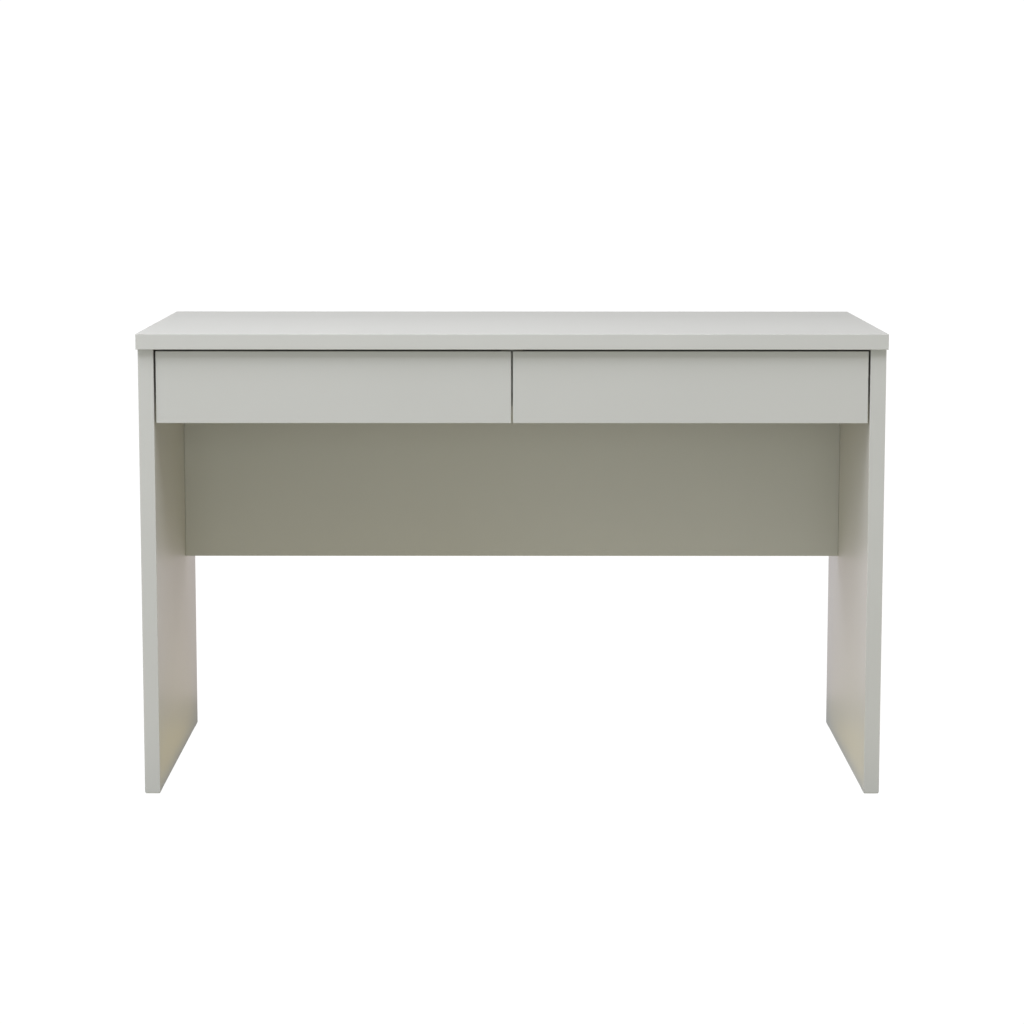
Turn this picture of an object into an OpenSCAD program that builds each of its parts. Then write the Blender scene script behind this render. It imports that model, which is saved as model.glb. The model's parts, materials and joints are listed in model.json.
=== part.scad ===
// Writing desk with two drawers.
//
// A thick board top on two slab side panels, a set-back modesty panel between
// them, and two drawers on roller runners behind inset fronts without handles.
// +X is to the right, the front faces -Y and +Z is up. The origin is on the
// floor under the middle of the desk. All sizes are in millimetres.

/* [Desk] */
// Width over the top
desk_width = 1200; // [1000:10:1600]
// Depth over the top
desk_depth = 570; // [540:5:700]
// Height over the top
desk_height = 750; // [700:5:800]
// Thickness of the top and of the side panels
thick_board = 25; // [22, 25, 28]
// Thickness of the modesty panel, the divider and the drawer fronts
thin_board = 16; // [16, 18]
// How far the top stands out past each side panel
side_overhang = 2; // [1:0.5:6]
// How far the top stands out past the side panels at the front
front_overhang = 10; // [4:1:20]
// Thickness of the edge banding
band = 1; // [0.8:0.1:1.2]
// Height of the floor glides
glide_height = 2; // [2:0.5:5]

/* [Modesty panel] */
// From the front of the side panels to the front face of the modesty panel
modesty_setback = 411; // [400:1:440]
// Height of its lower edge above the floor
modesty_bottom = 330; // [150:5:480]

/* [Drawers] */
// Height of a drawer front
front_height = 115.5; // [110:0.5:125]
// Gap beside and between the drawer fronts
front_gap = 3; // [2:0.5:4]
// Gap between the drawer fronts and the top
top_gap = 3.5; // [2:0.5:4]
// How far the drawer fronts sit behind the front edges of the side panels
front_inset = 2.5; // [0:0.5:5]
// How far a drawer front hangs below its box, as a finger pull
finger_drop = 32; // [25:1:34]
// Height of a drawer box
box_height = 68; // [50:1:70]
// Thickness of the drawer sides and back
box_board = 12; // [12, 15]
// Thickness of the drawer bottom
bottom_board = 3; // [3, 4]
// Length of the runners
runner_length = 350; // [300, 350]

/* [Colours] */
// Faced boards and their edge banding
board_colour = "#C3C4BD";
// Drawer box boards
box_colour = "#D9D8D2";
// Coated steel rails
rail_colour = "#E4E3DE";
// Bright zinc and steel fasteners
metal_colour = "#A9ABAD";
// Nylon rollers, glides and cover caps
plastic_colour = "#E9E8E3";
// Beech dowels
dowel_colour = "#C9A36B";

/* [Hidden] */

$fn = 40;
slip = 0.05;      // radial clearance of a pin, screw or dowel in its hole
over = 0.5;       // how far a cutting shape runs past the face it cuts
band_round = 0.8; // rounding of the banding's outer corners
seam = 0.05;      // butt joint between two strips of banding
arris = 0.8;      // easing of the modesty panel's corners at the side panels

// Desk, right half: faces of the boards.
top_x = desk_width / 2;
front_y = -desk_depth / 2;
back_y = desk_depth / 2;
top_under = desk_height - thick_board;
side_out_x = top_x - side_overhang;
side_in_x = side_out_x - thick_board;
side_front_y = front_y + front_overhang;
modesty_front_y = side_front_y + modesty_setback;
modesty_back_y = modesty_front_y + thin_board;
divider_x = thin_board / 2;

// Drawer front: a gap to the top, to the side panel and to its neighbour.
face_left_x = front_gap / 2;
face_right_x = side_in_x - front_gap;
face_top = top_under - top_gap;
face_bottom = face_top - front_height;
face_front_y = side_front_y + front_inset;
face_back_y = face_front_y + thin_board;

// Drawer box, centred in the bay between the side panel and the divider.
runner_gap = 12.5;
box_left_x = divider_x + runner_gap;
box_right_x = side_in_x - runner_gap;
box_z = face_bottom + finger_drop;
box_back_y = face_back_y + runner_length;
groove_lift = 8;
groove_depth = 5.5;
groove_slack = 0.2;
bottom_inset = 0.5;
bottom_z = box_z + groove_lift;

// Runner section. In a runner's own frame x is the distance from the wall
// that the cabinet rail is screwed to; y and z are those of the desk.
steel = 1.2;
rail_front_y = face_back_y + 3;
rail_back_y = rail_front_y + runner_length;
roller_r = 8.7;
roller_w = 6.8;
roller_play = 0.3;
pin_r = 2.45;
pin_head_r = 3.6;
pin_head_h = 0.6;
pin_shoulder_r = 3.8;
channel_out = 8.8;
channel_h = 2 * (roller_r + roller_play + steel);
channel_z = box_z - 2.6;
rear_roller_x = 3.7;
rear_roller_z = channel_z + channel_h / 2;
rear_roller_y = box_back_y - 11;
front_roller_x = 2;
front_roller_y = rail_front_y + 14;
drawer_web_x = runner_gap - steel;
running_face_z = channel_z + channel_h + 1;
running_lip_x = 2.6;
ledge_reach = 10;
front_roller_z = running_face_z - roller_play - roller_r;
channel_open_y = front_roller_y + roller_r + 4;
drawer_travel = 260;
stop_gap = 0.5;
open_stop_h = 5;

// The divider carries the inner rails and ends a little below them.
divider_front_y = face_back_y + 2;
divider_bottom = channel_z - 3.4;

// Screws: radius, head radius, head height.
rail_screw = [1.75, 3.2, 1.2];
back_screw = [1.9, 3.6, 1.4];
screw_recess = 0.7;
rail_screw_length = 12;
drawer_rail_screw_length = 9;
back_screw_length = 34;
rail_hole_pitch = 32;
cabinet_screw_steps = [37, 165, 293];
drawer_screw_steps = [30, 160, 290];
// The left drawer's inner rail uses the next hole along, so that the screws
// from both sides of the divider miss each other.
stagger = rail_hole_pitch;

// Cam fittings: cam radius, depth of its bore, bolt reach from the joint, and
// distance of the bolt from the face that the cam is bored in.
big_cam = [7.5, 12.5, 34, 8];
small_cam = [6, 9.5, 24, 6];
cam_play = 0.1;
cap_h = 1;
cap_rim = 1.2;
bolt_thread_r = 2.5;
bolt_thread_length = 10;
bolt_shank_r = 3;
bolt_neck_r = 2;
bolt_hole_r = 4;
bolt_head_r = 3.2;

// Dowels: radius, length in the drilled edge, length in the drilled face.
big_dowel = [4, 18, 12];
small_dowel = [3, 14, 10];

// A joint is [position, rotation]. Its own z = 0 is the plane where the two
// boards meet, -z runs into the board whose edge is drilled, and +x points
// out of the face that a cam is bored in. These lists hold the right half;
// the centre lists hold what lies on the middle of the desk.
bolt_depth = big_cam[3];
modesty_bolt_y = modesty_back_y - bolt_depth;

// Top on a side panel, y along its upper edge.
function top_side_joint(y) = [[side_in_x + bolt_depth, y, top_under], [0, 0, 180]];
top_side_cams = [for (share = [-0.395, 0.044, 0.395]) top_side_joint(share * desk_depth)];
top_side_dowels = [for (share = [-0.18, 0.24]) top_side_joint(share * desk_depth)];

// Top on the modesty panel, x along its upper edge.
function modesty_top_joint(x) = [[x, modesty_bolt_y, top_under], [0, 0, 90]];
modesty_top_cams = [for (share = [0.15, 0.4]) modesty_top_joint(share * desk_width)];
modesty_top_dowels = [modesty_top_joint(0.275 * desk_width)];

// Modesty panel on a side panel, at height z.
function modesty_side_joint(z) = [[side_in_x, modesty_bolt_y, z], [90, 0, 90]];
modesty_side_cams = [for (z = [modesty_bottom + 50, top_under - 60]) modesty_side_joint(z)];
modesty_side_dowels = [modesty_side_joint((modesty_bottom + top_under) / 2)];

// Top on the divider, and the divider's back edge on the modesty panel.
function divider_top_joint(y) = [[divider_x - bolt_depth, y, top_under], [0, 0, 0]];
function divider_modesty_joint(drop) =
    [[divider_x - bolt_depth, modesty_front_y, top_under - drop], [-90, 0, 0]];
divider_top_cams = [for (y = [side_front_y + 75, modesty_front_y - 96]) divider_top_joint(y)];
divider_top_dowels = [divider_top_joint(side_front_y + 195)];
divider_modesty_cams = [divider_modesty_joint(35)];
divider_modesty_dowels = [divider_modesty_joint(70)];

drawer_cam_z = box_z + 42;
drawer_dowel_z = box_z + 24;
outer_side_turn = [90, 0, 0];
inner_side_turn = [90, 180, 0];
outer_bolt_x = box_right_x - small_cam[3];
inner_bolt_x = box_left_x + small_cam[3];
drawer_cams = [
    [[outer_bolt_x, face_back_y, drawer_cam_z], outer_side_turn],
    [[inner_bolt_x, face_back_y, drawer_cam_z], inner_side_turn],
];
drawer_dowels = [
    [[outer_bolt_x, face_back_y, drawer_dowel_z], outer_side_turn],
    [[inner_bolt_x, face_back_y, drawer_dowel_z], inner_side_turn],
];
back_screw_y = box_back_y - box_board / 2;
back_screw_heights = [box_z + 26, box_z + box_height - 11];

// Floor glides: one near each end of a side panel.
glide_length = 40;
glide_inset = 0.5;
glide_width = thick_board - 2 * glide_inset;
glide_corner = 3;
glide_chamfer = 0.5;
glide_peg_r = 4;
glide_peg_length = 14;
glide_x = (side_in_x + side_out_x) / 2;
glide_ys = [side_front_y + glide_inset + glide_length / 2,
            back_y - glide_inset - glide_length / 2];

// ---------------------------------------------------------------- helpers

// A block between two x, two y and two z values.
module block(x, y, z) {
    translate([x[0], y[0], z[0]])
        cube([x[1] - x[0], y[1] - y[0], z[1] - z[0]]);
}

// What is drawn for the right half, put on side 1 (right) or -1 (left).
module on_side(side) {
    mirror([side < 0 ? 1 : 0, 0, 0]) children();
}

module place(joint) {
    translate(joint[0]) rotate(joint[1]) children();
}

// A runner's own frame, at the side panel or at the divider of one bay.
module at_outer_wall() {
    translate([side_in_x, 0, 0]) mirror([1, 0, 0]) children();
}

module at_inner_wall() {
    translate([divider_x, 0, 0]) children();
}

// The same in the left or the right bay, at its outer or its inner wall.
module at_wall(bay, wall) {
    on_side(bay == "left" ? -1 : 1)
        if (wall == "outer") at_outer_wall() children();
        else at_inner_wall() children();
}

// A flat shape in x and z, drawn out along y.
module along_y(from, to) {
    translate([0, to, 0]) rotate([90, 0, 0]) linear_extrude(to - from) children();
}

// A cylinder along +x that starts at x = 0.
module rod_x(length, radius) {
    rotate([0, 90, 0]) cylinder(h = length, r = radius);
}

// Outline of a banding strip: glued side on y = 0, outer corners rounded.
module strip_outline(width) {
    square([width, band - band_round]);
    translate([band_round, 0]) square([width - 2 * band_round, band]);
    intersection() {
        square([width, band]);
        for (x = [band_round, width - band_round])
            translate([x, band - band_round]) circle(band_round, $fn = 24);
    }
}

// Banding glued to y = 0 and facing +y, as tall as `height` and `width` wide.
module upright_band(width, height) {
    linear_extrude(height) strip_outline(width);
}

// The same for a strip that runs along x, rounded on its long edges.
module level_band(length, height) {
    translate([0, 0, height]) rotate([0, 90, 0]) linear_extrude(length) strip_outline(height);
}

// A strip along x that ends at two outer corners, rounded there as well.
module corner_band(length, height) {
    intersection() {
        level_band(length, height);
        upright_band(length, height);
    }
}

// ------------------------------------------------------- joints, fasteners

// Holes of one cam joint, in both boards.
module cam_drilling(cam) {
    cylinder(h = bolt_thread_length + over, r = bolt_thread_r + slip);
    translate([0, 0, -cam[2]]) cylinder(h = cam[2], r = bolt_hole_r);
    translate([cam[3] - cam[1], 0, -cam[2]]) rod_x(cam[1] + over, cam[0]);
}

module cam_bolt(cam) {
    neck = 4.5;
    head = 3;
    cylinder(h = bolt_thread_length, r = bolt_thread_r);
    translate([0, 0, -cam[2] + neck]) cylinder(h = cam[2] - neck, r = bolt_shank_r);
    translate([0, 0, -cam[2]]) cylinder(h = neck, r = bolt_neck_r);
    translate([0, 0, -cam[2] - head]) cylinder(h = head, r = bolt_head_r);
}

// The cam: a disc with a pocket for the bolt's head and a cross recess.
module cam_lock(cam) {
    recess_width = 1.4;
    recess_length = cam[0] * 1.1;
    recess_depth = 2;
    pocket_r = bolt_shank_r + 0.6;
    pocket_depth = 3.8;
    difference() {
        translate([cam[3] - cam[1] + cam_play, 0, -cam[2]])
            rod_x(cam[1] - 3 * cam_play, cam[0] - cam_play);
        translate([0, 0, -cam[2] - pocket_depth])
            cylinder(h = cam[0] + pocket_depth + over, r = pocket_r);
        for (turn = [0, 90])
            translate([cam[3] - recess_depth, 0, -cam[2]]) rotate([turn, 0, 0])
                block([0, recess_depth + over], [-recess_length / 2, recess_length / 2],
                      [-recess_width / 2, recess_width / 2]);
    }
}

// A thin disc with a soft rim that hides a cam.
module cover_cap(cam) {
    translate([cam[3], 0, -cam[2]]) {
        rod_x(cap_h / 2, cam[0] + cap_rim);
        translate([cap_h / 2, 0, 0]) rotate([0, 90, 0])
            cylinder(h = cap_h / 2, r1 = cam[0] + cap_rim, r2 = cam[0] + cap_rim - cap_h / 2);
    }
}

module dowel_drilling(dowel) {
    end_room = 1;
    translate([0, 0, -dowel[1] - end_room])
        cylinder(h = dowel[1] + dowel[2] + 2 * end_room, r = dowel[0] + slip);
}

module dowel_pin(dowel) {
    bevel = 0.8;
    length = dowel[1] + dowel[2];
    translate([0, 0, -dowel[1]]) {
        cylinder(h = bevel, r1 = dowel[0] - bevel, r2 = dowel[0]);
        translate([0, 0, bevel]) cylinder(h = length - 2 * bevel, r = dowel[0]);
        translate([0, 0, length - bevel]) cylinder(h = bevel, r1 = dowel[0], r2 = dowel[0] - bevel);
    }
}

// A pan-head screw: head on z = 0, shank towards -z, cross recess on top.
module screw(size, length) {
    tip = 2;
    slot = 0.8;
    bevel = size[2] / 3;
    difference() {
        union() {
            cylinder(h = size[2] - bevel, r = size[1]);
            translate([0, 0, size[2] - bevel])
                cylinder(h = bevel, r1 = size[1], r2 = size[1] - bevel);
            translate([0, 0, tip - length]) cylinder(h = length - tip, r = size[0]);
            translate([0, 0, -length]) cylinder(h = tip, r1 = 0.4, r2 = size[0]);
        }
        for (turn = [0, 90])
            translate([0, 0, size[2] - screw_recess]) rotate([0, 0, turn])
                block([-size[1] * 0.6, size[1] * 0.6], [-slot / 2, slot / 2],
                      [0, screw_recess + over]);
    }
}

module screw_drilling(size, length) {
    translate([0, 0, -length - over]) cylinder(h = length + 2 * over, r = size[0] + slip);
}

// ------------------------------------------------------------ desk boards

module desk_top() {
    color(board_colour) difference() {
        block([band - top_x, top_x - band], [front_y + band, back_y - band],
              [top_under, desk_height]);
        for (side = [-1, 1]) on_side(side) {
            for (j = concat(top_side_cams, modesty_top_cams))
                place(j) cam_drilling(big_cam);
            for (j = concat(top_side_dowels, modesty_top_dowels))
                place(j) dowel_drilling(big_dowel);
        }
        for (j = divider_top_cams) place(j) cam_drilling(big_cam);
        for (j = divider_top_dowels) place(j) dowel_drilling(big_dowel);
    }
}

// Four strips: the front and back ones cover the ends of the side ones.
module desk_top_edge_band() {
    long = desk_width;
    short = desk_depth - 2 * (band + seam);
    color(board_colour) translate([0, 0, top_under]) {
        translate([top_x, front_y + band, 0]) rotate([0, 0, 180]) corner_band(long, thick_board);
        translate([-top_x, back_y - band, 0]) corner_band(long, thick_board);
        translate([top_x - band, short / 2, 0]) rotate([0, 0, -90]) level_band(short, thick_board);
        translate([band - top_x, -short / 2, 0]) rotate([0, 0, 90]) level_band(short, thick_board);
    }
}

module side_panel() {
    difference() {
        block([side_in_x, side_out_x], [side_front_y + band, back_y - band],
              [glide_height, top_under]);
        for (j = concat(top_side_cams, modesty_side_cams))
            place(j) cam_drilling(big_cam);
        for (j = concat(top_side_dowels, modesty_side_dowels))
            place(j) dowel_drilling(big_dowel);
        at_outer_wall() cabinet_rail_screw_holes(0);
        for (y = glide_ys)
            translate([glide_x, y, glide_height - over])
                cylinder(h = glide_peg_length + 2 * over, r = glide_peg_r + slip);
    }
}

// Front and back edges; the upper edge is under the top.
module side_panel_edge_band() {
    height = top_under - glide_height;
    translate([side_out_x, side_front_y + band, glide_height])
        rotate([0, 0, 180]) upright_band(thick_board, height);
    translate([side_in_x, back_y - band, glide_height])
        upright_band(thick_board, height);
}

module left_side_panel() { color(board_colour) on_side(-1) side_panel(); }
module right_side_panel() { color(board_colour) on_side(1) side_panel(); }
module left_side_panel_edge_band() { color(board_colour) on_side(-1) side_panel_edge_band(); }
module right_side_panel_edge_band() { color(board_colour) on_side(1) side_panel_edge_band(); }

// Cuts the sharp corners that stand along a side panel.
module modesty_corner_cuts() {
    for (y = [modesty_front_y, modesty_back_y])
        translate([side_in_x, y, modesty_bottom - over])
            linear_extrude(top_under - modesty_bottom + 2 * over)
                rotate(45) square(arris * sqrt(2), center = true);
}

module modesty_panel() {
    color(board_colour) difference() {
        block([-side_in_x, side_in_x], [modesty_front_y, modesty_back_y],
              [modesty_bottom + band, top_under]);
        for (side = [-1, 1]) on_side(side) {
            modesty_corner_cuts();
            for (j = concat(modesty_top_cams, modesty_side_cams))
                place(j) cam_drilling(big_cam);
            for (j = concat(modesty_top_dowels, modesty_side_dowels))
                place(j) dowel_drilling(big_dowel);
        }
        for (j = divider_modesty_cams) place(j) cam_drilling(big_cam);
        for (j = divider_modesty_dowels) place(j) dowel_drilling(big_dowel);
    }
}

// Lower edge only; the other edges meet the top and the side panels.
module modesty_panel_edge_band() {
    color(board_colour) translate([-side_in_x, modesty_front_y, modesty_bottom + band])
        rotate([-90, 0, 0]) level_band(2 * side_in_x, thin_board);
}

module centre_divider() {
    color(board_colour) difference() {
        block([-divider_x, divider_x], [divider_front_y + band, modesty_front_y],
              [divider_bottom + band, top_under]);
        for (j = concat(divider_top_cams, divider_modesty_cams))
            place(j) cam_drilling(big_cam);
        for (j = concat(divider_top_dowels, divider_modesty_dowels))
            place(j) dowel_drilling(big_dowel);
        at_inner_wall() cabinet_rail_screw_holes(0);
        on_side(-1) at_inner_wall() cabinet_rail_screw_holes(stagger);
    }
}

// Front edge and lower edge; the front strip covers the end of the lower one.
module centre_divider_edge_band() {
    lower_front_y = divider_front_y + band + seam;
    color(board_colour) {
        translate([divider_x, divider_front_y + band, divider_bottom])
            rotate([0, 0, 180]) upright_band(thin_board, top_under - divider_bottom);
        translate([divider_x, lower_front_y, divider_bottom + band])
            rotate([0, 0, 90]) rotate([-90, 0, 0])
                level_band(modesty_front_y - lower_front_y, thin_board);
    }
}

// ----------------------------------------------------- desk joint hardware

module at_desk_cams() {
    for (side = [-1, 1]) on_side(side)
        for (j = concat(top_side_cams, modesty_top_cams, modesty_side_cams))
            place(j) children();
    for (j = concat(divider_top_cams, divider_modesty_cams))
        place(j) children();
}

module at_desk_dowels() {
    for (side = [-1, 1]) on_side(side)
        for (j = concat(top_side_dowels, modesty_top_dowels, modesty_side_dowels))
            place(j) children();
    for (j = concat(divider_top_dowels, divider_modesty_dowels))
        place(j) children();
}

module cam_locks() { color(metal_colour) at_desk_cams() cam_lock(big_cam); }
module cam_bolts() { color(metal_colour) at_desk_cams() cam_bolt(big_cam); }
module cam_cover_caps() { color(plastic_colour) at_desk_cams() cover_cap(big_cam); }
module wood_dowels() { color(dowel_colour) at_desk_dowels() dowel_pin(big_dowel); }

// Outline of a glide, drawn in by `shrink` all round: a bar with round corners.
module glide_outline(shrink) {
    reach_x = glide_width / 2 - glide_corner;
    reach_y = glide_length / 2 - glide_corner;
    side = glide_corner - shrink;
    square([2 * reach_x, 2 * (reach_y + side)], center = true);
    square([2 * (reach_x + side), 2 * reach_y], center = true);
    for (x = [-reach_x, reach_x], y = [-reach_y, reach_y]) translate([x, y]) circle(side);
}

// Push-in glides: a pad under the panel with a peg up into it.
module floor_glides() {
    color(plastic_colour) for (side = [-1, 1]) on_side(side)
        for (y = glide_ys) translate([glide_x, y, 0]) {
            linear_extrude(glide_chamfer) glide_outline(glide_chamfer);
            translate([0, 0, glide_chamfer])
                linear_extrude(glide_height - glide_chamfer) glide_outline(0);
            translate([0, 0, glide_height]) cylinder(h = glide_peg_length, r = glide_peg_r);
        }
}

// ---------------------------------------------------------- cabinet rails

// Places of a cabinet rail's screws; `shift` moves them along to the next hole.
module at_cabinet_screws(shift) {
    for (step = cabinet_screw_steps)
        translate([steel, rail_front_y + step + shift, rear_roller_z])
            rotate([0, 90, 0]) children();
}

module cabinet_rail_screw_holes(shift) {
    at_cabinet_screws(shift) screw_drilling(rail_screw, rail_screw_length);
}

// A channel that opens away from the wall. Its upper flange starts behind the
// front roller. One ear stops the rear roller when the drawer is shut and a
// lower one when it is open; the drawer lifts out over that one.
module cabinet_rail() {
    ear = steel;
    shut_y = rear_roller_y + roller_r + stop_gap;
    ear_lift = rear_roller_z - channel_z - steel - open_stop_h;
    reach = sqrt(roller_r * roller_r - ear_lift * ear_lift);
    open_y = rear_roller_y - drawer_travel - reach - stop_gap;
    color(rail_colour) difference() {
        union() {
            along_y(rail_front_y, rail_back_y) translate([0, channel_z]) difference() {
                square([channel_out, channel_h]);
                translate([steel, steel]) square([channel_out, channel_h - 2 * steel]);
            }
            block([0, channel_out], [shut_y, shut_y + ear], [channel_z, channel_z + channel_h]);
            block([channel_out / 2, channel_out], [open_y - ear, open_y],
                  [channel_z, channel_z + steel + open_stop_h]);
        }
        block([steel, channel_out + over], [rail_front_y - over, channel_open_y],
              [channel_z + channel_h / 2, channel_z + channel_h + over]);
        for (shift = [0, rail_hole_pitch])
            at_cabinet_screws(shift) screw_drilling(rail_screw, steel);
        translate([-over, front_roller_y, front_roller_z]) rod_x(steel + 2 * over, pin_r + slip);
    }
}

module left_drawer_outer_cabinet_rail() { at_wall("left", "outer") cabinet_rail(); }
module left_drawer_inner_cabinet_rail() { at_wall("left", "inner") cabinet_rail(); }
module right_drawer_inner_cabinet_rail() { at_wall("right", "inner") cabinet_rail(); }
module right_drawer_outer_cabinet_rail() { at_wall("right", "outer") cabinet_rail(); }

module cabinet_rail_screws() {
    color(metal_colour) {
        for (side = [-1, 1]) on_side(side)
            at_outer_wall() at_cabinet_screws(0) screw(rail_screw, rail_screw_length);
        on_side(1) at_inner_wall() at_cabinet_screws(0) screw(rail_screw, rail_screw_length);
        on_side(-1) at_inner_wall() at_cabinet_screws(stagger) screw(rail_screw, rail_screw_length);
    }
}

// A roller's pin from x = 0: through the steel, a shoulder, the roller's
// seat and a flat head. `seat` is where the roller starts.
module roller_pin(seat) {
    side_play = 0.2;
    shoulder = seat - side_play;
    head = seat + roller_w + side_play;
    rod_x(head, pin_r);
    translate([steel, 0, 0]) rod_x(shoulder - steel, pin_shoulder_r);
    translate([head, 0, 0]) rod_x(pin_head_h, pin_head_r);
}

// A nylon roller along +x from x = 0, hollowed a little on both faces.
module roller() {
    dish = 0.8;
    rim = 1.6;
    hub_r = 4.4;
    bevel = 0.5;
    color(plastic_colour) rotate([0, 90, 0]) rotate_extrude($fn = 64) polygon([
        [pin_r + slip, 0], [hub_r, 0], [hub_r, dish],
        [roller_r - rim, dish], [roller_r - rim, 0], [roller_r - bevel, 0], [roller_r, bevel],
        [roller_r, roller_w - bevel], [roller_r - bevel, roller_w], [roller_r - rim, roller_w],
        [roller_r - rim, roller_w - dish], [hub_r, roller_w - dish], [hub_r, roller_w],
        [pin_r + slip, roller_w],
    ]);
}

module front_roller() { translate([front_roller_x, front_roller_y, front_roller_z]) roller(); }
module rear_roller() { translate([rear_roller_x, rear_roller_y, rear_roller_z]) roller(); }

module cabinet_roller_pins() {
    color(metal_colour) for (side = [-1, 1]) on_side(side) {
        at_outer_wall() translate([0, front_roller_y, front_roller_z]) roller_pin(front_roller_x);
        at_inner_wall() translate([0, front_roller_y, front_roller_z]) roller_pin(front_roller_x);
    }
}

module left_drawer_outer_front_roller() { at_wall("left", "outer") front_roller(); }
module left_drawer_inner_front_roller() { at_wall("left", "inner") front_roller(); }
module right_drawer_inner_front_roller() { at_wall("right", "inner") front_roller(); }
module right_drawer_outer_front_roller() { at_wall("right", "outer") front_roller(); }

// ----------------------------------------------------------------- drawer

// The groove that the bottom sits in, cut in whatever reaches into it.
module bottom_groove() {
    block([box_left_x + box_board - groove_depth, box_right_x - box_board + groove_depth],
          [face_back_y - groove_depth, box_back_y - box_board + groove_depth],
          [bottom_z, bottom_z + bottom_board + groove_slack]);
}

module drawer_front() {
    difference() {
        block([face_left_x + band, face_right_x - band], [face_front_y, face_back_y],
              [face_bottom + band, face_top - band]);
        bottom_groove();
        for (j = drawer_cams) place(j) cam_drilling(small_cam);
        for (j = drawer_dowels) place(j) dowel_drilling(small_dowel);
    }
}

// Strips above and below over the full width, strips left and right between.
module drawer_front_edge_band() {
    width = face_right_x - face_left_x;
    height = front_height - 2 * (band + seam);
    low = face_bottom + band + seam;
    translate([face_left_x, face_back_y, face_top - band])
        rotate([90, 0, 0]) corner_band(width, thin_board);
    translate([face_left_x, face_front_y, face_bottom + band])
        rotate([-90, 0, 0]) corner_band(width, thin_board);
    translate([face_right_x - band, face_back_y, low])
        rotate([0, 0, -90]) upright_band(thin_board, height);
    translate([face_left_x + band, face_front_y, low])
        rotate([0, 0, 90]) upright_band(thin_board, height);
}

// One side of the box between two x values.
module drawer_side(x) {
    difference() {
        block(x, [face_back_y, box_back_y], [box_z, box_z + box_height]);
        bottom_groove();
        for (j = drawer_cams) place(j) cam_drilling(small_cam);
        for (j = drawer_dowels) place(j) dowel_drilling(small_dowel);
        at_back_screws() screw_drilling(back_screw, back_screw_length);
        at_outer_wall() at_drawer_screws() screw_drilling(rail_screw, drawer_rail_screw_length);
        at_inner_wall() at_drawer_screws() screw_drilling(rail_screw, drawer_rail_screw_length);
    }
}

module drawer_outer_side() { drawer_side([box_right_x - box_board, box_right_x]); }
module drawer_inner_side() { drawer_side([box_left_x, box_left_x + box_board]); }

module drawer_back() {
    difference() {
        block([box_left_x + box_board, box_right_x - box_board],
              [box_back_y - box_board, box_back_y], [box_z, box_z + box_height]);
        bottom_groove();
        at_back_screws() screw_drilling(back_screw, back_screw_length);
    }
}

module drawer_bottom() {
    reach = groove_depth - bottom_inset;
    lift = groove_slack / 2;
    block([box_left_x + box_board - reach, box_right_x - box_board + reach],
          [face_back_y - reach, box_back_y - box_board + reach],
          [bottom_z + lift, bottom_z + lift + bottom_board]);
}

// Screws through both sides into the ends of the back.
module at_back_screws() {
    for (z = back_screw_heights) {
        translate([box_right_x, back_screw_y, z]) rotate([0, 90, 0]) children();
        translate([box_left_x, back_screw_y, z]) rotate([0, -90, 0]) children();
    }
}

// In a runner's own frame: the screws that hold the drawer rail to the box.
module at_drawer_screws() {
    for (step = drawer_screw_steps)
        translate([drawer_web_x, rail_front_y + step, box_z + 15]) rotate([0, -90, 0]) children();
}

// A bent strip: a ledge under the box, a web up its side and a lip out over
// the channel that runs on the front roller.
module drawer_rail() {
    ledge_z = box_z - steel;
    web_height = running_face_z + steel - ledge_z;
    color(rail_colour) difference() {
        along_y(rail_front_y, box_back_y) {
            translate([drawer_web_x, ledge_z]) square([steel + ledge_reach, steel]);
            translate([drawer_web_x, ledge_z]) square([steel, web_height]);
            translate([running_lip_x, running_face_z]) square([runner_gap - running_lip_x, steel]);
        }
        at_drawer_screws() screw_drilling(rail_screw, steel);
        translate([drawer_web_x - over, rear_roller_y, rear_roller_z])
            rod_x(steel + 2 * over, pin_r + slip);
    }
}

// The rear roller's pin starts at the drawer's side and points at the wall.
module drawer_roller_pin() {
    seat = runner_gap - rear_roller_x - roller_w;
    translate([runner_gap, rear_roller_y, rear_roller_z]) mirror([1, 0, 0]) roller_pin(seat);
}

// Both runners' copies of what is drawn in a runner's own frame.
module at_both_walls() {
    at_outer_wall() children();
    at_inner_wall() children();
}

module left_drawer_front() { color(board_colour) on_side(-1) drawer_front(); }
module right_drawer_front() { color(board_colour) on_side(1) drawer_front(); }
module left_drawer_front_edge_band() { color(board_colour) on_side(-1) drawer_front_edge_band(); }
module right_drawer_front_edge_band() { color(board_colour) on_side(1) drawer_front_edge_band(); }
module left_drawer_outer_side() { color(box_colour) on_side(-1) drawer_outer_side(); }
module right_drawer_outer_side() { color(box_colour) on_side(1) drawer_outer_side(); }
module left_drawer_inner_side() { color(box_colour) on_side(-1) drawer_inner_side(); }
module right_drawer_inner_side() { color(box_colour) on_side(1) drawer_inner_side(); }
module left_drawer_back() { color(box_colour) on_side(-1) drawer_back(); }
module right_drawer_back() { color(box_colour) on_side(1) drawer_back(); }
module left_drawer_bottom() { color(box_colour) on_side(-1) drawer_bottom(); }
module right_drawer_bottom() { color(box_colour) on_side(1) drawer_bottom(); }
module left_drawer_outer_rail() { at_wall("left", "outer") drawer_rail(); }
module right_drawer_outer_rail() { at_wall("right", "outer") drawer_rail(); }
module left_drawer_inner_rail() { at_wall("left", "inner") drawer_rail(); }
module right_drawer_inner_rail() { at_wall("right", "inner") drawer_rail(); }
module left_drawer_outer_rear_roller() { at_wall("left", "outer") rear_roller(); }
module right_drawer_outer_rear_roller() { at_wall("right", "outer") rear_roller(); }
module left_drawer_inner_rear_roller() { at_wall("left", "inner") rear_roller(); }
module right_drawer_inner_rear_roller() { at_wall("right", "inner") rear_roller(); }

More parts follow.
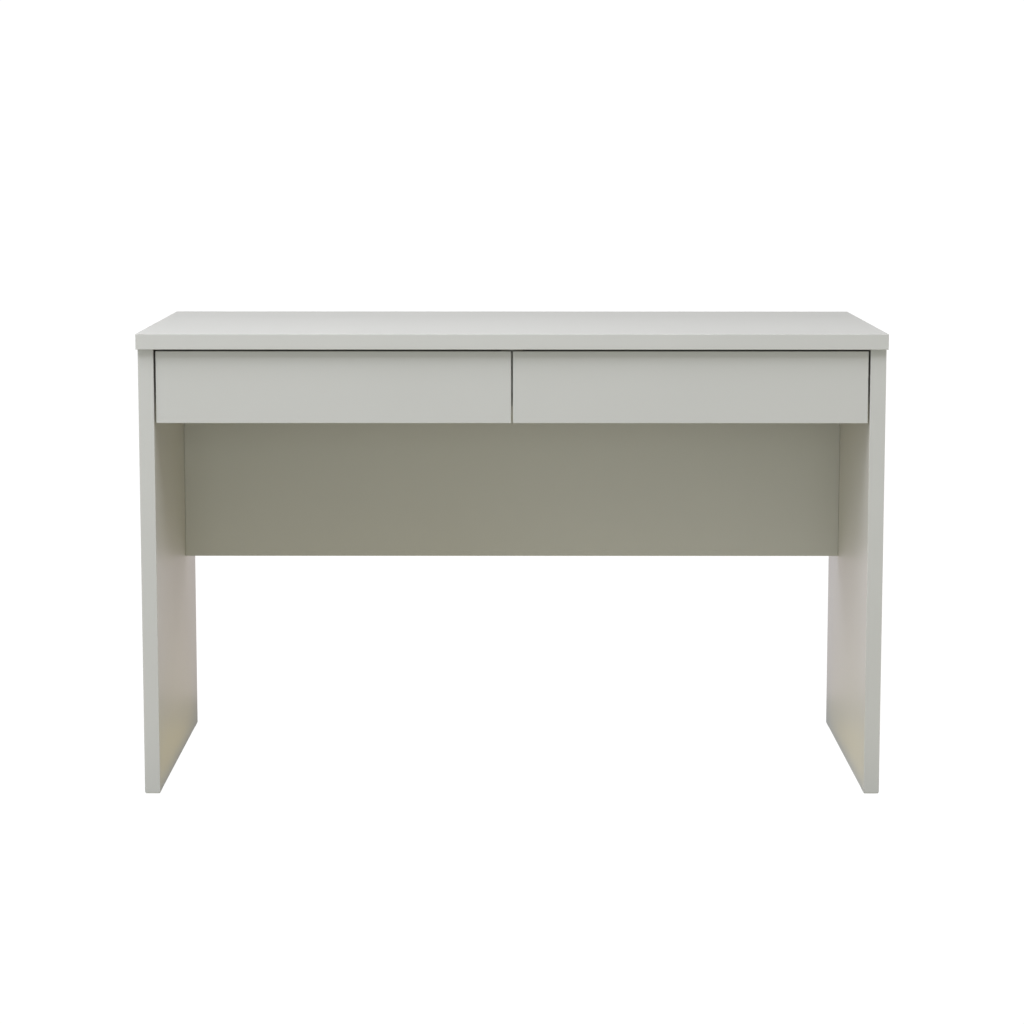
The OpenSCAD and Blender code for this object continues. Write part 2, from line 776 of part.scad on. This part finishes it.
// Fasteners of one drawer, on side 1 (right) or -1 (left).
module drawer_cam_locks(side) {
    color(metal_colour) on_side(side)
        for (j = drawer_cams) place(j) cam_lock(small_cam);
}

module drawer_cam_bolts(side) {
    color(metal_colour) on_side(side)
        for (j = drawer_cams) place(j) cam_bolt(small_cam);
}

module drawer_dowel_pins(side) {
    color(dowel_colour) on_side(side)
        for (j = drawer_dowels) place(j) dowel_pin(small_dowel);
}

module drawer_back_screws(side) {
    color(metal_colour) on_side(side)
        at_back_screws() screw(back_screw, back_screw_length);
}

module drawer_rail_screws(side) {
    color(metal_colour) on_side(side)
        at_both_walls() at_drawer_screws() screw(rail_screw, drawer_rail_screw_length);
}

module drawer_roller_pins(side) {
    color(metal_colour) on_side(side)
        at_both_walls() drawer_roller_pin();
}

module left_drawer_cam_locks() { drawer_cam_locks(-1); }
module right_drawer_cam_locks() { drawer_cam_locks(1); }
module left_drawer_cam_bolts() { drawer_cam_bolts(-1); }
module right_drawer_cam_bolts() { drawer_cam_bolts(1); }
module left_drawer_dowels() { drawer_dowel_pins(-1); }
module right_drawer_dowels() { drawer_dowel_pins(1); }
module left_drawer_back_screws() { drawer_back_screws(-1); }
module right_drawer_back_screws() { drawer_back_screws(1); }
module left_drawer_rail_screws() { drawer_rail_screws(-1); }
module right_drawer_rail_screws() { drawer_rail_screws(1); }
module left_drawer_roller_pins() { drawer_roller_pins(-1); }
module right_drawer_roller_pins() { drawer_roller_pins(1); }

// ---------------------------------------------------------------- drawing

desk_top();
desk_top_edge_band();
left_side_panel();
left_side_panel_edge_band();
right_side_panel();
right_side_panel_edge_band();
modesty_panel();
modesty_panel_edge_band();
centre_divider();
centre_divider_edge_band();
cam_locks();
cam_bolts();
cam_cover_caps();
wood_dowels();
floor_glides();
left_drawer_outer_cabinet_rail();
left_drawer_inner_cabinet_rail();
right_drawer_inner_cabinet_rail();
right_drawer_outer_cabinet_rail();
cabinet_rail_screws();
cabinet_roller_pins();
left_drawer_outer_front_roller();
left_drawer_inner_front_roller();
right_drawer_inner_front_roller();
right_drawer_outer_front_roller();
left_drawer_front();
left_drawer_front_edge_band();
left_drawer_outer_side();
left_drawer_inner_side();
left_drawer_back();
left_drawer_bottom();
left_drawer_cam_locks();
left_drawer_cam_bolts();
left_drawer_dowels();
left_drawer_back_screws();
left_drawer_outer_rail();
left_drawer_inner_rail();
left_drawer_rail_screws();
left_drawer_roller_pins();
left_drawer_outer_rear_roller();
left_drawer_inner_rear_roller();
right_drawer_front();
right_drawer_front_edge_band();
right_drawer_outer_side();
right_drawer_inner_side();
right_drawer_back();
right_drawer_bottom();
right_drawer_cam_locks();
right_drawer_cam_bolts();
right_drawer_dowels();
right_drawer_back_screws();
right_drawer_outer_rail();
right_drawer_inner_rail();
right_drawer_rail_screws();
right_drawer_roller_pins();
right_drawer_outer_rear_roller();
right_drawer_inner_rear_roller();
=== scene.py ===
"""Looks, light and camera for the writing desk with two drawers.

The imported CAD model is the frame: every board, rail, roller and screw keeps
its shape and place. This script softens its sharp edges, gives each record
slot a procedural material and sets up a white studio.
"""

import json
import math

import bmesh
import bpy
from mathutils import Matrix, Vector


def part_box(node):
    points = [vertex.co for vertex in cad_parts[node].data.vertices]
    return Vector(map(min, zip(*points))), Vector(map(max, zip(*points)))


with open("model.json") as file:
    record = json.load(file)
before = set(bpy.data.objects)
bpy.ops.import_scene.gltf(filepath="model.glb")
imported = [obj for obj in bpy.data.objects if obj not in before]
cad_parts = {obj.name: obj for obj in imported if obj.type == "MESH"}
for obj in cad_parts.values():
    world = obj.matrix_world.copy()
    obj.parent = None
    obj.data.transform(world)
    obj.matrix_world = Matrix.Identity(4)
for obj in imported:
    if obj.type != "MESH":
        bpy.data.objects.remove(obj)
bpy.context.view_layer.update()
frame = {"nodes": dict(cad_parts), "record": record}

MM = 0.001
nodes = frame["nodes"]
slot_of = {part["node"]: part["material_slot"] for part in frame["record"]["subparts"]}

# ------------------------------------------------------------------ shading


def srgb(red, green, blue):
    """A colour as seen on screen, 0 to 255, as the linear values a shader takes."""
    def linear(value):
        value /= 255
        return value / 12.92 if value <= 0.04045 else ((value + 0.055) / 1.055) ** 2.4

    return (linear(red), linear(green), linear(blue), 1.0)


def scaled(colour, factor):
    return tuple(channel * factor for channel in colour[:3]) + (1.0,)


SHADER_SOCKETS = {
    "ior": "IOR",
    "metallic": "Metallic",
    "coat_weight": "Coat Weight",
    "coat_roughness": "Coat Roughness",
}


class Shader:
    """A material with its Principled shader, and short ways to add nodes."""

    def __init__(self, name):
        self.material = bpy.data.materials.new(name)
        self.material.use_nodes = True
        self.tree = self.material.node_tree
        self.surface = self.tree.nodes["Principled BSDF"]
        self.place = self.node("ShaderNodeTexCoord").outputs["Object"]

    def node(self, kind, **settings):
        made = self.tree.nodes.new(kind)
        for name, value in settings.items():
            setattr(made, name, value)
        return made

    def link(self, output, socket):
        self.tree.links.new(output, socket)

    def set(self, **values):
        """Values that are the same all over, straight on the shader."""
        for name, value in values.items():
            self.surface.inputs[SHADER_SOCKETS[name]].default_value = value

    def stretched(self, scale):
        """Object coordinates, in metres, multiplied by scale along each axis."""
        mapping = self.node("ShaderNodeMapping")
        mapping.inputs["Scale"].default_value = scale
        self.link(self.place, mapping.inputs["Vector"])
        return mapping.outputs["Vector"]

    def noise(self, scale, detail=3.0, roughness=0.55, stretch=None):
        made = self.node("ShaderNodeTexNoise")
        made.inputs["Scale"].default_value = scale
        made.inputs["Detail"].default_value = detail
        made.inputs["Roughness"].default_value = roughness
        self.link(self.stretched(stretch) if stretch else self.place, made.inputs["Vector"])
        return made.outputs["Fac"]

    def ramp(self, factor, low, high, start=0.3, end=0.7):
        """From colour low to colour high as factor goes from start to end."""
        made = self.node("ShaderNodeValToRGB")
        made.color_ramp.elements[0].position = start
        made.color_ramp.elements[0].color = low
        made.color_ramp.elements[1].position = end
        made.color_ramp.elements[1].color = high
        self.link(factor, made.inputs["Fac"])
        return made.outputs["Color"]

    def span(self, factor, low, high, start=0.3, end=0.7):
        """From number low to number high as factor goes from start to end."""
        made = self.node("ShaderNodeMapRange")
        made.inputs["From Min"].default_value = start
        made.inputs["From Max"].default_value = end
        made.inputs["To Min"].default_value = low
        made.inputs["To Max"].default_value = high
        self.link(factor, made.inputs["Value"])
        return made.outputs["Result"]

    def colour(self, output):
        self.link(output, self.surface.inputs["Base Color"])

    def roughness(self, output):
        self.link(output, self.surface.inputs["Roughness"])

    def bumps(self, *layers):
        """Height layers, each (output, depth in metres), one on top of the other."""
        below = None
        for height, depth in layers:
            bump = self.node("ShaderNodeBump")
            bump.inputs["Strength"].default_value = 1.0
            bump.inputs["Distance"].default_value = depth
            self.link(height, bump.inputs["Height"])
            if below is not None:
                self.link(below, bump.inputs["Normal"])
            below = bump.outputs["Normal"]
        self.link(below, self.surface.inputs["Normal"])


# The colour of the desk's facing and of its edge banding.
BOARD = srgb(204, 204, 200)
BOARD_IOR = 1.5


def faced_board():
    """Satin melamine: an even warm grey with a pressed-in fine grain."""
    shader = Shader("faced_board")
    cloud = shader.noise(5, detail=2)
    fleck = shader.noise(900, detail=2, roughness=0.6)
    press = shader.noise(1400, detail=2)
    shader.colour(shader.ramp(cloud, scaled(BOARD, 0.985), scaled(BOARD, 1.0)))
    shader.roughness(shader.span(fleck, 0.40, 0.50))
    shader.bumps((cloud, 0.12 * MM), (press, 0.012 * MM))
    shader.set(ior=BOARD_IOR)
    return shader.material


def edge_band():
    """Extruded edge banding: the board's colour, smoother, with faint draw lines."""
    shader = Shader("edge_band")
    cloud = shader.noise(9, detail=2)
    lines = shader.noise(300, detail=2, stretch=(0.05, 1, 1))
    shader.colour(shader.ramp(cloud, scaled(BOARD, 0.98), scaled(BOARD, 1.0)))
    shader.roughness(shader.span(lines, 0.36, 0.46))
    shader.bumps((lines, 0.008 * MM))
    shader.set(ior=BOARD_IOR)
    return shader.material


def drawer_board():
    """Foil-wrapped drawer sides: a paler sheet with a faint linen print."""
    shader = Shader("drawer_board")
    base = srgb(205, 204, 197)
    warp = shader.noise(700, detail=1, stretch=(1, 0.06, 1))
    weft = shader.noise(700, detail=1, stretch=(0.06, 1, 0.06))
    shader.colour(shader.ramp(warp, scaled(base, 0.96), base))
    shader.roughness(shader.span(weft, 0.42, 0.54))
    shader.bumps((warp, 0.01 * MM), (weft, 0.01 * MM))
    return shader.material


def drawer_bottom_board():
    """Lacquered hardboard: flat colour over short pressed fibres."""
    shader = Shader("drawer_bottom_board")
    base = srgb(202, 201, 194)
    fibre = shader.noise(260, detail=4, roughness=0.7, stretch=(1, 0.35, 1))
    shader.colour(shader.ramp(fibre, scaled(base, 0.965), base))
    shader.roughness(shader.span(fibre, 0.54, 0.66))
    shader.bumps((fibre, 0.02 * MM))
    return shader.material


def coated_steel():
    """Epoxy-coated rail: off-white powder with a soft orange peel."""
    shader = Shader("coated_steel")
    base = srgb(216, 215, 209)
    peel = shader.noise(650, detail=2)
    scuff = shader.noise(220, detail=3, stretch=(1, 0.04, 1))
    shader.colour(shader.ramp(scuff, scaled(base, 0.93), base, start=0.25, end=0.5))
    shader.roughness(shader.span(scuff, 0.42, 0.28))
    shader.bumps((peel, 0.02 * MM))
    shader.set(coat_weight=0.25, coat_roughness=0.2)
    return shader.material


def metal(name, base, grain, rough, depth):
    """Plated metal with a worn finish, duller and darker in spots."""
    shader = Shader(name)
    spots = shader.noise(grain, detail=4, roughness=0.65)
    shader.colour(shader.ramp(spots, scaled(base, 0.82), base))
    shader.roughness(shader.span(spots, rough + 0.14, rough))
    shader.bumps((spots, depth))
    shader.set(metallic=1.0)
    return shader.material


def plastic(name, base, rough, depth):
    """Moulded plastic with a spark-eroded texture."""
    shader = Shader(name)
    spark = shader.noise(1500, detail=2)
    cloud = shader.noise(60, detail=2)
    shader.colour(shader.ramp(cloud, scaled(base, 0.95), base))
    shader.roughness(shader.span(spark, rough, rough + 0.1))
    shader.bumps((spark, depth))
    return shader.material


def beech():
    """Turned beech: fine pores and short darker rays along the grain."""
    shader = Shader("beech")
    grain = shader.noise(900, detail=4, roughness=0.7, stretch=(1, 1, 0.08))
    rays = shader.noise(1500, detail=2, stretch=(1, 1, 0.25))
    shader.colour(shader.ramp(grain, srgb(176, 132, 84), srgb(214, 175, 126)))
    shader.roughness(shader.span(rays, 0.55, 0.72))
    shader.bumps((grain, 0.03 * MM))
    return shader.material


MATERIALS = {
    "faced_board": faced_board(),
    "edge_band": edge_band(),
    "drawer_board": drawer_board(),
    "drawer_bottom_board": drawer_bottom_board(),
    "coated_steel": coated_steel(),
    "screw_steel": metal("screw_steel", srgb(196, 197, 199), 420, 0.26, 0.01 * MM),
    "pin_steel": metal("pin_steel", srgb(186, 187, 188), 600, 0.22, 0.008 * MM),
    "cam_zinc": metal("cam_zinc", srgb(172, 173, 174), 900, 0.36, 0.02 * MM),
    "roller_nylon": plastic("roller_nylon", srgb(232, 230, 222), 0.42, 0.006 * MM),
    "glide_plastic": plastic("glide_plastic", srgb(222, 222, 216), 0.45, 0.01 * MM),
    "cover_cap": plastic("cover_cap", scaled(BOARD, 0.97), 0.45, 0.01 * MM),
    "beech": beech(),
}

# ------------------------------------------------------------ finish of CAD

CURVE_ANGLE = math.radians(35)
SAME_POINT = 0.001 * MM
SOFT_EDGES = {
    "drawer_board": 0.5 * MM,
    "drawer_bottom_board": 0.3 * MM,
    "coated_steel": 0.25 * MM,
}


def soften(piece, width):
    """Rounds a node's sharp edges a little, without touching its own mesh."""
    weld = piece.modifiers.new("weld", "WELD")
    weld.merge_threshold = SAME_POINT
    bevel = piece.modifiers.new("soft_edges", "BEVEL")
    bevel.width = width
    bevel.segments = 2
    bevel.limit_method = "ANGLE"
    bevel.angle_limit = CURVE_ANGLE
    bevel.harden_normals = False


for name, piece in nodes.items():
    slot = slot_of[name]
    piece.data.materials.clear()
    piece.data.materials.append(MATERIALS[slot])
    if slot in SOFT_EDGES:
        soften(piece, SOFT_EDGES[slot])

# ------------------------------------------------------------------- camera

# Distances in metres; the camera stands ahead of the side panels' front edges.
panel_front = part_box("left_side_panel_edge_band")[0].y
LENS_MM = 100.5
SENSOR_MM = 36.0
CAMERA_AHEAD = 4.557
CAMERA_HEIGHT = 1.073
CAMERA_SIDE = -0.001
CAMERA_DOWN = math.radians(7.625)
CAMERA_YAW = math.radians(-0.010)
CAMERA_ROLL = math.radians(-0.018)
FAR_CLIP = 200.0


def make_camera():
    data = bpy.data.cameras.new("camera")
    data.lens = LENS_MM
    data.sensor_width = SENSOR_MM
    data.clip_end = FAR_CLIP
    camera = bpy.data.objects.new("camera", data)
    camera.location = (CAMERA_SIDE, panel_front - CAMERA_AHEAD, CAMERA_HEIGHT)
    camera.rotation_euler = (math.pi / 2 - CAMERA_DOWN, CAMERA_ROLL, CAMERA_YAW)
    bpy.context.scene.collection.objects.link(camera)
    bpy.context.scene.camera = camera


make_camera()

# ------------------------------------------------------------------- studio

STAGE_REACH = 30.0
FLOOR_DROP = 0.2 * MM
DOME_FACETS = 3
PURE_WHITE = 1.05    # a little over 1, so that no rounding leaves it grey
WATTS_PER_M2 = 10    # of a softbox whose tint is 1


def staged(name, mesh):
    """A backdrop object, linked straight into the scene."""
    made = bpy.data.objects.new(name, mesh)
    bpy.context.scene.collection.objects.link(made)
    return made


def floor_sheet(name, reach, height):
    mesh = bpy.data.meshes.new(name)
    quarters = ((-1, -1), (1, -1), (1, 1), (-1, 1))
    corners = [(x * reach, y * reach, height) for x, y in quarters]
    mesh.from_pydata(corners, [], [(0, 1, 2, 3)])
    return staged(name, mesh)


def dome(name, radius):
    mesh = bpy.data.meshes.new(name)
    shape = bmesh.new()
    bmesh.ops.create_icosphere(shape, subdivisions=DOME_FACETS, radius=radius)
    shape.to_mesh(mesh)
    shape.free()
    return staged(name, mesh)


def glowing(name, colour, strength):
    material = bpy.data.materials.new(name)
    material.use_nodes = True
    tree = material.node_tree
    tree.nodes.clear()
    light = tree.nodes.new("ShaderNodeEmission")
    light.inputs["Color"].default_value = colour
    light.inputs["Strength"].default_value = strength
    out = tree.nodes.new("ShaderNodeOutputMaterial")
    tree.links.new(light.outputs["Emission"], out.inputs["Surface"])
    return material


def seen_only(piece):
    """Shown to the camera, and takes no part in the lighting."""
    piece.visible_diffuse = False
    piece.visible_glossy = False
    piece.visible_transmission = False
    piece.visible_volume_scatter = False
    piece.visible_shadow = False


def white_surround():
    """The plain white the desk stands in: a floor and a dome around it."""
    white = glowing("white_surround", (1, 1, 1, 1), PURE_WHITE)
    floor = floor_sheet("white_floor", STAGE_REACH, -FLOOR_DROP)
    for piece in (floor, dome("white_dome", STAGE_REACH)):
        piece.data.materials.append(white)
        seen_only(piece)


def softbox(name, place, size, facing, tint):
    """A large even light; tint is its brightness in red, green and blue."""
    peak = max(tint)
    data = bpy.data.lights.new(name, "AREA")
    data.shape = "RECTANGLE"
    data.size, data.size_y = size
    data.energy = WATTS_PER_M2 * size[0] * size[1] * peak
    data.color = [channel / peak for channel in tint]
    made = bpy.data.objects.new(name, data)
    made.location = place
    made.rotation_euler = Vector(facing).to_track_quat("-Z", "Y").to_euler()
    made.visible_camera = False
    bpy.context.scene.collection.objects.link(made)


def ambient(tint):
    """Even light from all round; tint is its brightness in red, green and blue."""
    world = bpy.data.worlds.new("studio")
    bpy.context.scene.world = world
    world.use_nodes = True
    background = world.node_tree.nodes["Background"]
    peak = max(tint)
    background.inputs["Color"].default_value = tuple(channel / peak for channel in tint) + (1.0,)
    background.inputs["Strength"].default_value = peak


DOWN = (0, 0, -1)
UP = (0, 0, 1)
BACKWARD = (0, 1, 0)
CEILING = 3.2
NEAR_BOX = (2.0, 1.4)
FAR_BOX = (4.0, 1.2)
WALL_BOX = (3.0, 2.8)
FRONT_BOX = (2.8, 2.0)
ON_FLOOR = 2 * MM
SIDE_GLOW = (2.4, 1.8)
BACK_GLOW = (5.0, 3.6)
UNDER_GLOW = (1.1, 0.52)

white_surround()
# A dim even base that fills the shadows.
ambient((0.34, 0.34, 0.32))
# Almost overhead, for the bright top and the soft shade under its front edge.
softbox("ceiling_near_left", (-1.0, -1.0, CEILING), NEAR_BOX, DOWN, (1.67, 1.67, 1.74))
softbox("ceiling_near_right", (1.0, -1.0, CEILING), NEAR_BOX, DOWN, (0.62, 0.62, 0.67))
softbox("ceiling_far", (0.0, -2.3, CEILING), FAR_BOX, DOWN, (1.10, 1.11, 1.18))
# Low and from the front, into the knee space.
softbox("front", (0.0, -6.5, 1.0), FRONT_BOX, BACKWARD, (0.60, 0.65, 0.57))
# From the walls, stronger on the left.
softbox("left_wall_front", (-5.0, -2.4, 1.6), WALL_BOX, (1, 0.2, 0), (0.80, 0.81, 0.84))
softbox("left_wall_back", (-5.0, 2.0, 1.6), WALL_BOX, (1, -0.2, 0), (0.75, 0.81, 0.99))
softbox("right_wall_front", (5.0, -2.4, 1.6), WALL_BOX, (-1, 0.2, 0), (0.09, 0.05, 0.01))
softbox("right_wall_back", (5.0, 2.0, 1.6), WALL_BOX, (-1, -0.2, 0), (0.39, 0.35, 0.35))
# What a pale floor throws back up beside, behind and under the desk.
softbox("floor_glow_left", (-1.9, 0.3, ON_FLOOR), SIDE_GLOW, UP, (0.32, 0.30, 0.29))
softbox("floor_glow_right", (1.9, 0.3, ON_FLOOR), SIDE_GLOW, UP, (0.35, 0.34, 0.30))
softbox("floor_glow_back", (0.0, 2.3, ON_FLOOR), BACK_GLOW, UP, (0.20, 0.17, 0.19))
softbox("floor_glow_under", (0.0, -0.02, ON_FLOOR), UNDER_GLOW, UP, (0.11, 0.08, 0.01))

scene = bpy.context.scene
scene.view_settings.view_transform = "Standard"
scene.view_settings.look = "None"
scene.view_settings.exposure = 0.0
scene.view_settings.gamma = 1.0
